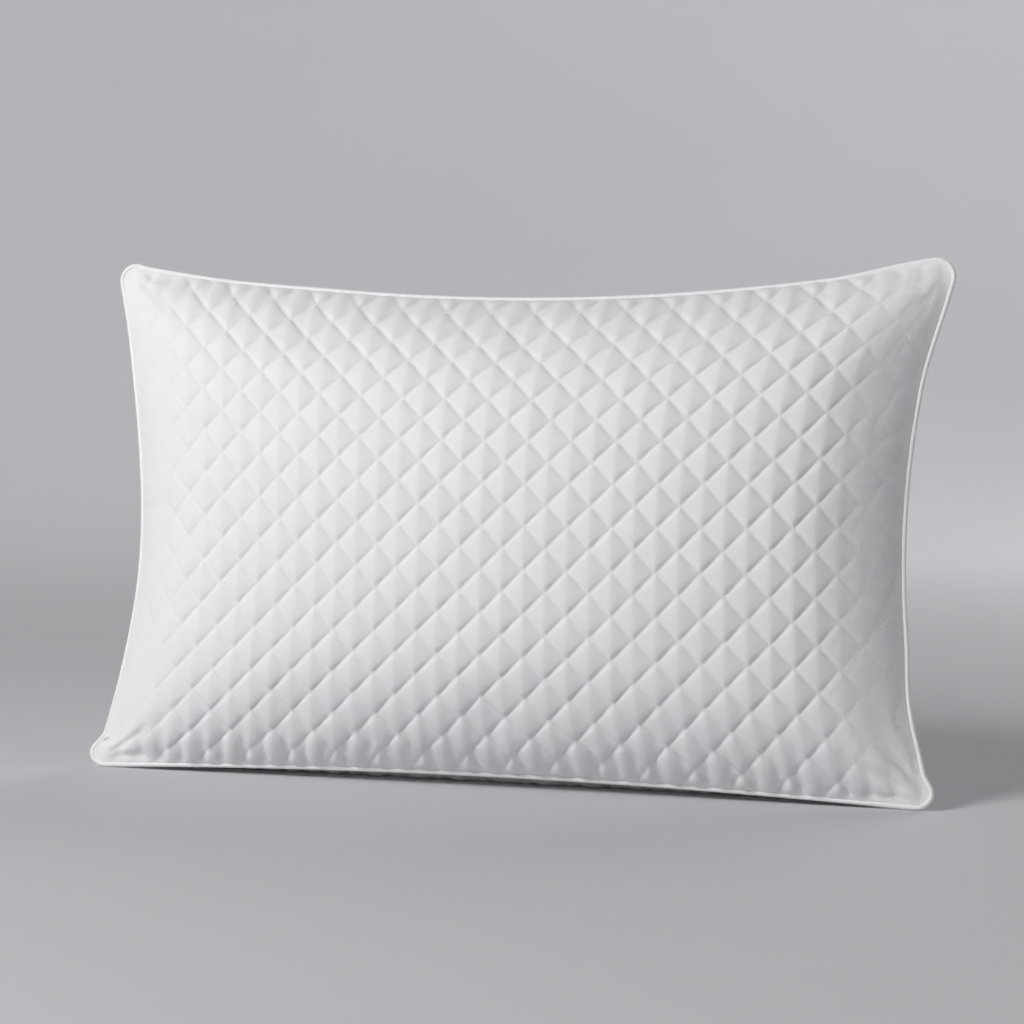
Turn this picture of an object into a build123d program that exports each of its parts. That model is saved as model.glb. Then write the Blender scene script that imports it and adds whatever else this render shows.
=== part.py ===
from build123d import *
import math
import os

# Bed pillow with a quilted, piped cover, standing on one long edge and leaning back.
# Units are millimetres. +X runs along the long edge, +Y to the back and +Z up.
# In the seam frame, s runs along X, t runs up the seam plane and n points out of it to the back.
# The origin is on the floor, at the middle of the pillow's box.

# Seam outline, measured along the middle of the piping
CORNER_SPAN_S = 772.0
CORNER_SPAN_T = 466.0
TOP_BOW = 35.0
BOTTOM_BOW = 10.0
SIDE_BOW = 34.0
EAR_RADIUS = 15.0

# Filled shape and the way it stands
LOFT = 182.0
LEAN_ANGLE = 9.0
EAR_LIFT = 0.3
SETTLE_DROP = 60.0
SETTLE_DEPTH = 32.0
FLOOR_SOFTNESS = 5.0

# The back is lowered this far past the floor before it is cut level, so that it rests on a face
FLOOR_PRESS = 0.25

# Layers, from the outside in
FACE_FABRIC = 1.2
WADDING = 4.5
BACKING = 0.8
LINER = 0.8
LAYER_CLEARANCE = 0.4

# Piping and seam
CORD_DIAMETER = 3.0
CORD_CLEARANCE = 0.2
STRIP_THICKNESS = 0.6
FLANGE_WIDTH = 8.0
SEAM_CLEARANCE = 0.3
OVERLOCK_WIDTH = 1.2
OVERLOCK_THICKNESS = 1.6

# A layer's border stands this much further off the seam plane for each millimetre nearer the outside
SEAM_FLARE = 0.25

# Surface sampling
COLUMNS = 41
ROWS = 45

HALF_S = CORNER_SPAN_S / 2
HALF_T = CORNER_SPAN_T / 2
SLEEVE_RADIUS = CORD_DIAMETER / 2 + CORD_CLEARANCE
WELT_RADIUS = SLEEVE_RADIUS + STRIP_THICKNESS
FLANGE_THICKNESS = 2 * STRIP_THICKNESS + CORD_CLEARANCE
PANEL_GAP = max(FLANGE_THICKNESS, OVERLOCK_THICKNESS) / 2 + SEAM_CLEARANCE
PANEL_INSET = WELT_RADIUS + SEAM_CLEARANCE


def bow_arc(start, end, bow):
    """Arc from start to end whose middle is pulled towards the pillow's centre by bow."""
    middle = (start + end) / 2
    inward = (Vector(0, HALF_T) - middle).normalized()
    return ThreePointArc(start, middle + inward * bow, end)


def sharp_corners():
    """The four corners before rounding, from the lower left one round."""
    return [
        Vector(-HALF_S, 0),
        Vector(HALF_S, 0),
        Vector(HALF_S, CORNER_SPAN_T),
        Vector(-HALF_S, CORNER_SPAN_T),
    ]


def seam_outline(inset):
    """Closed outline in the seam plane, moved inwards by inset."""
    corners = sharp_corners()
    bows = [BOTTOM_BOW, SIDE_BOW, TOP_BOW, SIDE_BOW]
    edges = [bow_arc(corners[i], corners[(i + 1) % 4], bows[i]) for i in range(4)]
    face = make_face(edges)
    rounded = fillet(face.vertices(), EAR_RADIUS)
    outline = rounded.face().outer_wire()
    if inset:
        outline = outline.offset_2d(-inset, Kind.ARC)
    return outline


EAR_FOOT = seam_outline(0).bounding_box().min.Y


def seam_rise():
    """Height of the seam frame's own zero above the floor."""
    lean = math.radians(LEAN_ANGLE)
    return WELT_RADIUS + EAR_LIFT - EAR_FOOT * math.cos(lean)


def to_pillow(s, t, n):
    """Turn a seam frame point into the leaning pillow's own frame."""
    lean = math.radians(LEAN_ANGLE)
    y = (t - HALF_T) * math.sin(lean) + n * math.cos(lean)
    z = seam_rise() + t * math.cos(lean) - n * math.sin(lean)
    return Vector(s, y, z)


def seam_plane():
    """The leaning seam plane, with the seam frame's s and t as its own directions."""
    origin = to_pillow(0, 0, 0)
    normal = to_pillow(0, 0, 1) - origin
    return Plane(origin=origin, x_dir=(1, 0, 0), z_dir=-normal)


def ear_tips(outline):
    """Places of the four ear tips along the outline, as shares of its length."""
    tips = []
    for corner in sharp_corners():
        ear = outline.edges().sort_by_distance(corner)[0]
        tips.append(outline.param_at_point(ear.position_at(0.5)))
    return tips


def side_points(outline, start, end, shares):
    """Points from one ear tip to the next, at the given shares of the way."""
    span = (end - start) % 1.0
    if span > 0.5:
        span -= 1.0
    return [outline.position_at((start + span * share) % 1.0) for share in shares]


def eased_angles(count):
    """Angles from minus to plus a quarter turn, whose sines crowd towards both ends."""
    return [math.pi * (i / (count - 1) - 0.5) for i in range(count)]


def eased_shares(count):
    """Shares from 0 to 1 that crowd towards both ends."""
    return [(1 + math.sin(angle)) / 2 for angle in eased_angles(count)]


def seam_plane_grid(inset):
    """Grid of seam frame points that fills the outline moved inwards by inset."""
    outline = seam_outline(inset)
    tips = ear_tips(outline)
    across = eased_shares(COLUMNS)
    upward = eased_shares(ROWS)
    bottom = side_points(outline, tips[0], tips[1], across)
    right = side_points(outline, tips[1], tips[2], upward)
    top = side_points(outline, tips[3], tips[2], across)
    left = side_points(outline, tips[0], tips[3], upward)
    grid = []
    for i, a in enumerate(across):
        column = []
        for j, b in enumerate(upward):
            point = bottom[i] * (1 - b) + top[i] * b + left[j] * (1 - a) + right[j] * a
            point -= (bottom[0] * (1 - a) + bottom[-1] * a) * (1 - b)
            point -= (top[0] * (1 - a) + top[-1] * a) * b
            column.append(point)
        grid.append(column)
    return grid


def smooth_step(value):
    """Smooth rise from 0 at value 0 to 1 at value 1."""
    value = min(max(value, 0.0), 1.0)
    return value * value * (3 - 2 * value)


def soft_floor(height):
    """Height above the floor after a soft landing on it, never below it."""
    ratio = height / FLOOR_SOFTNESS
    return FLOOR_SOFTNESS * (max(ratio, 0.0) + math.log1p(math.exp(-abs(ratio))))


def settle(point, n, share_up, depth):
    """Lower the back of the pillow a little past the floor and flatten it there."""
    floor = depth - FLOOR_PRESS
    weight = smooth_step(n / SETTLE_DEPTH)
    dropped = point.Z - SETTLE_DROP * (1 - share_up) ** 2 - floor
    settled = floor + soft_floor(dropped)
    return Vector(point.X, point.Y, point.Z + (settled - point.Z) * weight)


def layer_depths():
    """Depth of each layer's outer face and its thickness, by layer name."""
    depths = {}
    depth = 0.0
    layers = {"face_fabric": FACE_FABRIC, "wadding": WADDING, "backing": BACKING, "liner": LINER}
    for name, thickness in layers.items():
        depths[name] = (depth, thickness)
        depth += thickness + LAYER_CLEARANCE
    depths["filling"] = (depth, 0.0)
    return depths


def seam_gap(depth):
    """Distance from the seam plane to the border of a layer; outer layers stand further off."""
    return PANEL_GAP + SEAM_FLARE * (layer_depths()["filling"][0] - depth)


def belly_points(depth, side):
    """Grid of points on one belly at a depth below the outside; side is 1 back or -1 front."""
    grid = seam_plane_grid(PANEL_INSET + depth)
    gap = seam_gap(depth)
    swell = LOFT / 2 - depth - gap
    shares = eased_shares(ROWS)
    rows = []
    for i, angle_s in enumerate(eased_angles(COLUMNS)):
        row = []
        for j, angle_t in enumerate(eased_angles(ROWS)):
            n = side * (gap + swell * math.cos(angle_s) * math.cos(angle_t))
            point = to_pillow(grid[i][j].X, grid[i][j].Y, n)
            row.append(settle(point, n, shares[j], depth))
        rows.append(row)
    return rows


def belly_face(depth, side):
    """Smooth face over one belly at a depth below the outside."""
    return Face.make_surface_from_array_of_points(belly_points(depth, side))


def closed_solid(first, second):
    """Solid between two faces and the ruled faces that join their four borders."""
    faces = [first, second]
    for edge in first.edges():
        partner = second.edges().sort_by_distance(edge.center())[0]
        faces.append(Face.make_surface_from_curves(edge, partner))
    return Solid(Shell(faces))


def panel_layer(depth, thickness, side):
    """One layer of fabric or wadding over one belly."""
    return closed_solid(belly_face(depth, side), belly_face(depth + thickness, side))


def press_flat(layer):
    """Cut the layer level with the floor, which leaves the flat face that the pillow rests on."""
    box = layer.bounding_box()
    width = box.size.X + 2 * LOFT
    return layer - Pos(0, 0, -LOFT / 2) * Box(width, 2 * width, LOFT)


def filling(depth):
    """The loose filling, as one solid that reaches across the seam plane."""
    return closed_solid(belly_face(depth, 1), belly_face(depth, -1))


def ring_section(width, thickness, inset):
    """Rectangle across the seam plane whose outer end is inset from the piping's middle."""
    return Pos(inset + width / 2, 0) * Rectangle(width, thickness)


def sweep_round(section):
    """Sweep a section round the seam outline; its own x points into the pillow."""
    path = seam_outline(0)
    start = path.position_at(0)
    travel = path.tangent_at(0)
    middle = Vector(0, HALF_T)
    inward = Vector(0, 0, 1).cross(travel)
    if inward.dot(middle - start) < 0:
        inward = -inward
    across = Plane(origin=start, x_dir=inward, z_dir=travel)
    return seam_plane() * sweep(across * section, path=path)


def piping_cord():
    """The round filler cord inside the piping."""
    return sweep_round(Circle(CORD_DIAMETER / 2))


def piping_strip():
    """The fabric strip folded round the cord, with its two edges as a sewing flange."""
    outside = Circle(WELT_RADIUS) + ring_section(FLANGE_WIDTH, FLANGE_THICKNESS, 0)
    inside = Circle(SLEEVE_RADIUS) + ring_section(FLANGE_WIDTH, CORD_CLEARANCE, 0)
    return sweep_round(outside - inside)


def seam_overlock():
    """The thread band that binds the raw edge of the seam inside the cover."""
    inset = FLANGE_WIDTH + SEAM_CLEARANCE
    return sweep_round(ring_section(OVERLOCK_WIDTH, OVERLOCK_THICKNESS, inset))


def all_parts():
    """Every node's name and solid."""
    depths = layer_depths()
    parts = {}
    for side_name, side in {"front": -1, "back": 1}.items():
        for layer in ("face_fabric", "wadding", "backing"):
            parts[f"{side_name}_{layer}"] = panel_layer(*depths[layer], side)
        parts[f"liner_{side_name}"] = panel_layer(*depths["liner"], side)
    parts["back_face_fabric"] = press_flat(parts["back_face_fabric"])
    parts["fibre_filling"] = filling(depths["filling"][0])
    parts["piping_cord"] = piping_cord()
    parts["piping_strip"] = piping_strip()
    parts["seam_overlock"] = seam_overlock()
    return parts


os.makedirs("parts", exist_ok=True)
for node_name, node_solid in all_parts().items():
    export_step(node_solid, f"parts/{node_name}.step")
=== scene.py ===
"""Looks of a bed pillow with a quilted, piped cover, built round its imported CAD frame."""

import logging
import math
from dataclasses import dataclass, field
from enum import Enum

import bpy
import numpy as np
from mathutils import Matrix, Vector


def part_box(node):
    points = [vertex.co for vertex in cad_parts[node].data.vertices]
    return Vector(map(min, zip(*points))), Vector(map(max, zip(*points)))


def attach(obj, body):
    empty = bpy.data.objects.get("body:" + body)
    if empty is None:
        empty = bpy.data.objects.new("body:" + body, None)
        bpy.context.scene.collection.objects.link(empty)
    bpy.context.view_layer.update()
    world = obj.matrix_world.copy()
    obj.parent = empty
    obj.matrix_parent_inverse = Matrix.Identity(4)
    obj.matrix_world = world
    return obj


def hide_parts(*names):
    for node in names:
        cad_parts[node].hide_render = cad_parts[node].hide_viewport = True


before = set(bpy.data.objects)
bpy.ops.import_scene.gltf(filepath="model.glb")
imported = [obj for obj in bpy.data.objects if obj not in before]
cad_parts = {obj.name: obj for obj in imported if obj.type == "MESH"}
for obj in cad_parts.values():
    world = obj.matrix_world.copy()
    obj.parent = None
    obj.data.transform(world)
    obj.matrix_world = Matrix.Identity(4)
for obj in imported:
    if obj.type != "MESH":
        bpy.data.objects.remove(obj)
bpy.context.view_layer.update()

logging.basicConfig(level=logging.INFO, format="%(message)s")
LOG = logging.getLogger("pillow")

ROOT_BODY = "root"
FABRIC_PLACE = "fabric_place"


class Side(Enum):
    """The two bellies of the pillow, by the sign of their distance from the seam plane."""

    FRONT = -1
    BACK = 1

    @property
    def word(self) -> str:
        """The side's name in lower case."""
        return self.name.lower()


# ---------------------------------------------------------------------------------------------
# Small helpers
# ---------------------------------------------------------------------------------------------


def smooth_step(value: np.ndarray) -> np.ndarray:
    """Smooth rise from 0 at value 0 to 1 at value 1.

    Args:
        value: Numbers of any size.

    Returns:
        The eased numbers, from 0 to 1.
    """
    value = np.clip(value, 0.0, 1.0)
    return value * value * (3.0 - 2.0 * value)


def soft_floor(height: np.ndarray, softness: float) -> np.ndarray:
    """Heights after a soft landing on a floor at 0.

    Args:
        height: Heights that may be below the floor.
        softness: Height over which the landing is rounded.

    Returns:
        Heights that are never below 0.
    """
    ratio = height / softness
    return softness * (np.maximum(ratio, 0.0) + np.log1p(np.exp(-np.abs(ratio))))


def lattice_noise(first: np.ndarray, second: np.ndarray, seed: int) -> np.ndarray:
    """Smooth random numbers over a plane, the same on every run.

    Args:
        first: Places along the first direction, one unit per bump.
        second: Places along the second direction, one unit per bump.
        seed: Number that picks the pattern.

    Returns:
        Numbers from -1 to 1.
    """

    def corner(i: np.ndarray, j: np.ndarray) -> np.ndarray:
        """Random number of each lattice corner."""
        mixed = np.sin(i * 127.1 + j * 311.7 + seed * 74.7) * 43758.5453
        return 2.0 * (mixed - np.floor(mixed)) - 1.0

    i = np.floor(first)
    j = np.floor(second)
    u = smooth_step(first - i)
    v = smooth_step(second - j)
    low = corner(i, j) * (1 - u) + corner(i + 1, j) * u
    high = corner(i, j + 1) * (1 - u) + corner(i + 1, j + 1) * u
    return low * (1 - v) + high * v


def cubic_refine(count: int, factor: int) -> np.ndarray:
    """Matrix that fills in a row of points with smooth curves through them.

    Args:
        count: Number of points in the coarse row.
        factor: Number of fine steps in each coarse step.

    Returns:
        A matrix of fine rows by coarse columns.
    """
    fine = (count - 1) * factor + 1
    matrix = np.zeros((fine, count))
    for row in range(fine):
        start = min(row // factor, count - 2)
        t = row / factor - start
        weights = (
            -0.5 * t + t**2 - 0.5 * t**3,
            1 - 2.5 * t**2 + 1.5 * t**3,
            0.5 * t + 2 * t**2 - 1.5 * t**3,
            -0.5 * t**2 + 0.5 * t**3,
        )
        for offset, weight in zip((-1, 0, 1, 2), weights):
            column = start + offset
            if column < 0:
                matrix[row, 0] += 2 * weight
                matrix[row, 1] -= weight
            elif column >= count:
                matrix[row, count - 1] += 2 * weight
                matrix[row, count - 2] -= weight
            else:
                matrix[row, column] += weight
    return matrix


def evenly_along(line: np.ndarray, count: int, closed: bool = False) -> tuple:
    """Evenly spaced points along a line.

    Args:
        line: Points of the line, as (many, 2).
        count: Number of points wanted.
        closed: Whether the line ends where it starts, so that its last point is left out.

    Returns:
        Points as (count, 2), and the line's length.
    """
    steps = np.linalg.norm(np.diff(line, axis=0), axis=1)
    length = np.concatenate([[0.0], np.cumsum(steps)])
    wanted = np.linspace(0, length[-1], count, endpoint=not closed)
    return np.stack([np.interp(wanted, length, line[:, k]) for k in range(2)], 1), length[-1]


def circle(radius: float, count: int) -> tuple:
    """Points of a circle round zero.

    Args:
        radius: Its radius.
        count: Number of points.

    Returns:
        Angles as (count,), and points as (count, 2).
    """
    angles = np.linspace(0, 2 * math.pi, count, endpoint=False)
    return angles, radius * np.stack([np.cos(angles), np.sin(angles)], 1)


def grid_normals(grid: np.ndarray) -> np.ndarray:
    """Unit normals of a grid of points.

    Args:
        grid: Points as (columns, rows, 3).

    Returns:
        Normals as (columns, rows, 3), along first step cross second step.
    """
    across = np.gradient(grid, axis=0)
    upward = np.gradient(grid, axis=1)
    normal = np.cross(across, upward)
    length = np.linalg.norm(normal, axis=2, keepdims=True)
    return normal / np.maximum(length, 1e-12)


def new_object(name: str, vertices: np.ndarray, faces: list) -> bpy.types.Object:
    """Make a smooth-shaded mesh object in the scene.

    Args:
        name: The object's name.
        vertices: Points as (count, 3), in metres.
        faces: Lists of point numbers.

    Returns:
        The new object.
    """
    mesh = bpy.data.meshes.new(name)
    mesh.from_pydata([tuple(point) for point in vertices], [], faces)
    mesh.update()
    mesh.polygons.foreach_set("use_smooth", [True] * len(mesh.polygons))
    thing = bpy.data.objects.new(name, mesh)
    bpy.context.scene.collection.objects.link(thing)
    return thing


def grid_faces(columns: int, rows: int, first: int, flip: bool) -> list:
    """Four-sided faces of a grid whose points are numbered column by column.

    Args:
        columns: Number of points across.
        rows: Number of points upward.
        first: Number of the grid's first point.
        flip: Whether the faces look the other way.

    Returns:
        Lists of four point numbers.
    """
    faces = []
    for i in range(columns - 1):
        for j in range(rows - 1):
            a = first + i * rows + j
            quad = [a, a + rows, a + rows + 1, a + 1]
            faces.append(quad[::-1] if flip else quad)
    return faces


def closed_between(first: np.ndarray, second: np.ndarray, flip: bool) -> tuple:
    """Closed mesh between two grids of the same size.

    Args:
        first: Outer grid of points.
        second: Inner grid of points.
        flip: Whether the first grid's own normal points inwards.

    Returns:
        Points as (count, 3) and a list of faces.
    """
    columns, rows = first.shape[:2]
    size = columns * rows
    faces = grid_faces(columns, rows, 0, flip) + grid_faces(columns, rows, size, not flip)
    number = np.arange(size).reshape(columns, rows)
    border = np.concatenate([number[:-1, 0], number[-1, :-1], number[:0:-1, -1], number[0, :0:-1]])
    for k, here in enumerate(border):
        after = int(border[(k + 1) % len(border)])
        quad = [int(here), int(here) + size, after + size, after]
        faces.append(quad[::-1] if flip else quad)
    return np.concatenate([first.reshape(-1, 3), second.reshape(-1, 3)]), faces


def thread_runs(
    start: np.ndarray, end: np.ndarray, outward: np.ndarray, radius: float, lift: float
) -> tuple:
    """Many short rounded lengths of thread whose ends dive into the cloth.

    Args:
        start: First ends, as (count, 3).
        end: Second ends, as (count, 3).
        outward: Directions out of the cloth, as (count, 3).
        radius: Radius of the thread.
        lift: How far its middle stands over the cloth.

    Returns:
        Points as (count, 3) and a list of faces.
    """
    outward = outward / np.maximum(np.linalg.norm(outward, axis=1, keepdims=True), 1e-12)
    travel = end - start
    travel /= np.maximum(np.linalg.norm(travel, axis=1, keepdims=True), 1e-12)
    aside = np.cross(travel, outward)
    ring = 4
    profile = ((0.0, 0.55, -1.0), (0.5, 1.0, 1.0), (1.0, 0.55, -1.0))
    angles = 2 * math.pi * np.arange(ring) / ring
    layers = []
    for share, width, height in profile:
        centre = start * (1 - share) + end * share + outward * (lift * height)
        for angle in angles:
            layers.append(centre + radius * width * (aside * math.cos(angle) + outward * math.sin(angle)))
    points = np.stack(layers, 1).reshape(-1, 3)
    cell = []
    for level in range(len(profile) - 1):
        for k in range(ring):
            a, b = level * ring + k, level * ring + (k + 1) % ring
            cell.append([a, b, b + ring, a + ring])
    last = (len(profile) - 1) * ring
    cell.append(list(range(ring))[::-1])
    cell.append([last + k for k in range(ring)])
    block = len(profile) * ring
    faces = [[n + block * run for n in face] for run in range(len(start)) for face in cell]
    return points, faces


def store_fabric_place(thing: bpy.types.Object, place: np.ndarray) -> None:
    """Keep each point's place on the flat cut cloth, for weaves that follow the cloth.

    Args:
        thing: The mesh object.
        place: Places as (count, 2), in metres.
    """
    layer = thing.data.attributes.new(FABRIC_PLACE, "FLOAT_VECTOR", "POINT")
    padded = np.zeros((len(place), 3), np.float32)
    padded[:, :2] = place
    layer.data.foreach_set("vector", padded.ravel())


def fit_out(thing: bpy.types.Object, finish: bpy.types.Material, slot: str, *nodes: str) -> None:
    """Give a piece its material and its body, and hide the CAD nodes it stands for.

    Args:
        thing: The finished piece.
        finish: Its material.
        slot: Not used.
        nodes: CAD nodes that it replaces.
    """
    thing.data.materials.clear()
    thing.data.materials.append(finish)
    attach(thing, ROOT_BODY)
    if nodes:
        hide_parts(*nodes)
    LOG.info("piece %s: %d faces", thing.name, len(thing.data.polygons))


# ---------------------------------------------------------------------------------------------
# Finishes
# ---------------------------------------------------------------------------------------------


def linear(colour: str) -> tuple:
    """Turn an sRGB hex colour into linear red, green, blue and alpha.

    Args:
        colour: Six hex digits after a hash sign.

    Returns:
        Four numbers from 0 to 1.
    """
    channels = []
    for k in (1, 3, 5):
        value = int(colour[k : k + 2], 16) / 255
        channels.append(value / 12.92 if value <= 0.04045 else ((value + 0.055) / 1.055) ** 2.4)
    return (*channels, 1.0)


def add_node(tree: bpy.types.NodeTree, kind: str, inputs: dict, **settings) -> bpy.types.Node:
    """Add a shader node with its settings and its links.

    Args:
        tree: The material's node tree.
        kind: The node's type name.
        inputs: Values or output sockets, by input name or number.
        **settings: The node's own properties.

    Returns:
        The new node.
    """
    node = tree.nodes.new(kind)
    for name, value in settings.items():
        setattr(node, name, value)
    for name, value in inputs.items():
        if isinstance(value, bpy.types.NodeSocket):
            tree.links.new(value, node.inputs[name])
        else:
            node.inputs[name].default_value = value
    return node


def wave_scale(pitch_mm: float) -> float:
    """Scale of a wave texture whose bands repeat at a pitch in millimetres."""
    return 2 * math.pi / (20 * pitch_mm / 1000)


def noise_scale(size_mm: float) -> float:
    """Scale of a noise texture whose patches have a size in millimetres."""
    return 1000 / size_mm


@dataclass(frozen=True)
class Textile:
    """What all the textiles share: a mottled pale colour, a soft sheen and a fine relief."""

    name: str = "textile"
    light: str = "#F4F4F3"
    shade: str = "#ECEDEF"
    patch_mm: float = 40.0
    roughness: float = 0.80
    roughness_spread: float = 0.06
    sheen: float = 0.15
    sheen_roughness: float = 0.45
    pitch_mm: float = 1.0
    relief_mm: float = 0.15
    relief_strength: float = 0.5
    follows_cloth: bool = False

    def make(self) -> bpy.types.Material:
        """Make the material.

        Returns:
            The new material.
        """
        material = bpy.data.materials.new(self.name)
        material.use_nodes = True
        tree = material.node_tree
        tree.nodes.clear()
        place = self.place(tree)
        mottle = add_node(
            tree,
            "ShaderNodeTexNoise",
            {"Vector": place, "Scale": noise_scale(self.patch_mm), "Detail": 4.0, "Roughness": 0.6},
        )
        colour = add_node(
            tree,
            "ShaderNodeMix",
            {0: mottle.outputs[0], 6: linear(self.light), 7: linear(self.shade)},
            data_type="RGBA",
        )
        rough = add_node(
            tree,
            "ShaderNodeMapRange",
            {
                "Value": mottle.outputs[0],
                "To Min": self.roughness - self.roughness_spread,
                "To Max": self.roughness + self.roughness_spread,
            },
        )
        bump = add_node(
            tree,
            "ShaderNodeBump",
            {
                "Strength": self.relief_strength,
                "Distance": self.relief_mm / 1000,
                "Height": self.relief(tree, place),
            },
        )
        shader = add_node(
            tree,
            "ShaderNodeBsdfPrincipled",
            {
                "Base Color": colour.outputs[2],
                "Roughness": rough.outputs[0],
                "IOR": 1.5,
                "Specular IOR Level": 0.35,
                "Sheen Weight": self.sheen,
                "Sheen Roughness": self.sheen_roughness,
                "Normal": bump.outputs[0],
            },
        )
        add_node(tree, "ShaderNodeOutputMaterial", {"Surface": shader.outputs[0]})
        return material

    def place(self, tree: bpy.types.NodeTree) -> bpy.types.NodeSocket:
        """Where the pattern is laid out: on the flat cut cloth, or through the piece.

        Args:
            tree: The material's node tree.

        Returns:
            Place of each point, in metres.
        """
        if self.follows_cloth:
            node = add_node(tree, "ShaderNodeAttribute", {}, attribute_name=FABRIC_PLACE)
            return node.outputs["Vector"]
        return add_node(tree, "ShaderNodeTexCoord", {}).outputs["Object"]

    def yarn_rows(
        self,
        tree: bpy.types.NodeTree,
        place: bpy.types.NodeSocket,
        direction: str,
        pitch_mm: float,
        waver: float,
    ) -> bpy.types.NodeSocket:
        """Rows of yarn across one direction.

        Args:
            tree: The material's node tree.
            place: Where the pattern is laid out.
            direction: X, Y, Z or DIAGONAL.
            pitch_mm: Distance from yarn to yarn.
            waver: How much the yarns wander.

        Returns:
            Height from 0 between yarns to 1 on them.
        """
        wave = add_node(
            tree,
            "ShaderNodeTexWave",
            {"Vector": place, "Scale": wave_scale(pitch_mm), "Distortion": waver, "Detail": 1.0},
            bands_direction=direction,
        )
        return wave.outputs["Fac"]

    def relief(self, tree: bpy.types.NodeTree, place: bpy.types.NodeSocket) -> bpy.types.NodeSocket:
        """Plain weave: warp and weft, each over the other in turn.

        Args:
            tree: The material's node tree.
            place: Where the pattern is laid out.

        Returns:
            Height of the relief, from about 0 to 1.
        """
        warp = self.yarn_rows(tree, place, "X", self.pitch_mm, 0.6)
        weft = self.yarn_rows(tree, place, "Y", self.pitch_mm, 0.6)
        return add_node(tree, "ShaderNodeMath", {0: warp, 1: weft}, operation="MAXIMUM").outputs[0]


@dataclass(frozen=True)
class KnittedPolyester(Textile):
    """Face of the cover: circular-knitted polyester jersey, brushed.

    The loops are too fine to see one by one and leave a soft matt white with a faint grain of
    upright wales. Real wales stand 0.6 mm apart, and are drawn 1.2 mm apart so that they show.
    """

    name: str = "knitted_brushed_polyester"
    light: str = "#F6F6F5"
    shade: str = "#EEEFF1"
    patch_mm: float = 55.0
    roughness: float = 0.86
    sheen: float = 0.20
    pitch_mm: float = 1.2
    relief_mm: float = 0.22
    relief_strength: float = 0.45
    follows_cloth: bool = True
    course_share: float = 0.8
    fuzz_mm: float = 2.6

    def relief(self, tree: bpy.types.NodeTree, place: bpy.types.NodeSocket) -> bpy.types.NodeSocket:
        """Upright wales crossed by courses, with the uneven nap of the brushing over them.

        Args:
            tree: The material's node tree.
            place: Where the pattern is laid out.

        Returns:
            Height of the relief, from about 0 to 1.
        """
        wales = self.yarn_rows(tree, place, "X", self.pitch_mm, 1.2)
        courses = self.yarn_rows(tree, place, "Y", self.pitch_mm * self.course_share, 1.2)
        loops = add_node(tree, "ShaderNodeMath", {0: wales, 1: courses}, operation="MULTIPLY")
        fuzz = add_node(
            tree,
            "ShaderNodeTexNoise",
            {"Vector": place, "Scale": noise_scale(self.fuzz_mm), "Detail": 3.0, "Roughness": 0.7},
        )
        return add_node(
            tree,
            "ShaderNodeMath",
            {0: fuzz.outputs[0], 1: 1.1, 2: loops.outputs[0]},
            operation="MULTIPLY_ADD",
        ).outputs[0]


@dataclass(frozen=True)
class WovenSateenStrip(Textile):
    """Piping: cotton sateen cut on the bias and folded round the cord.

    Its smooth floats catch more light than the knit, so the seam reads as a thin bright line.
    The weave is drawn at 0.9 mm where the real one is 0.3 mm.
    """

    name: str = "woven_bias_cut_sateen"
    light: str = "#FBFBFA"
    shade: str = "#F5F5F5"
    patch_mm: float = 18.0
    roughness: float = 0.58
    sheen: float = 0.10
    pitch_mm: float = 0.9
    relief_mm: float = 0.10
    relief_strength: float = 0.4
    follows_cloth: bool = True

    def relief(self, tree: bpy.types.NodeTree, place: bpy.types.NodeSocket) -> bpy.types.NodeSocket:
        """Slanting floats of the bias-cut weave."""
        return self.yarn_rows(tree, place, "DIAGONAL", self.pitch_mm, 0.8)


@dataclass(frozen=True)
class NeedledWadding(Textile):
    """Wadding: needled polyester fibre, which looks like dense dull fluff.

    The tangle is drawn at 1.6 mm, much coarser than the 0.03 mm fibres, so that it shows.
    """

    name: str = "needled_polyester_wadding"
    light: str = "#F7F6F2"
    shade: str = "#EAE9E4"
    patch_mm: float = 14.0
    roughness: float = 0.95
    sheen: float = 0.30
    pitch_mm: float = 1.6
    relief_mm: float = 0.5
    relief_strength: float = 0.8

    def relief(self, tree: bpy.types.NodeTree, place: bpy.types.NodeSocket) -> bpy.types.NodeSocket:
        """Tangled fibre ends.

        Args:
            tree: The material's node tree.
            place: Where the pattern is laid out.

        Returns:
            Height of the relief, from about 0 to 1.
        """
        scale = noise_scale(self.pitch_mm)
        tangle = {"Vector": place, "Scale": scale, "Detail": 6.0, "Distortion": 2.0}
        return add_node(tree, "ShaderNodeTexNoise", tangle).outputs[0]


@dataclass(frozen=True)
class SpunbondScrim(Textile):
    """Backing: spunbond polypropylene, thin and slightly shiny, with a grid of bonded dots."""

    name: str = "spunbond_polypropylene_scrim"
    light: str = "#F2F3F4"
    shade: str = "#E4E6E9"
    patch_mm: float = 8.0
    roughness: float = 0.62
    sheen: float = 0.05
    pitch_mm: float = 1.5
    relief_mm: float = 0.12

    def relief(self, tree: bpy.types.NodeTree, place: bpy.types.NodeSocket) -> bpy.types.NodeSocket:
        """Bonded dots pressed into the sheet.

        Args:
            tree: The material's node tree.
            place: Where the pattern is laid out.

        Returns:
            Height of the relief, from about 0 to 1.
        """
        return add_node(
            tree,
            "ShaderNodeTexVoronoi",
            {"Vector": place, "Scale": noise_scale(self.pitch_mm), "Randomness": 0.15},
        ).outputs["Distance"]


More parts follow.
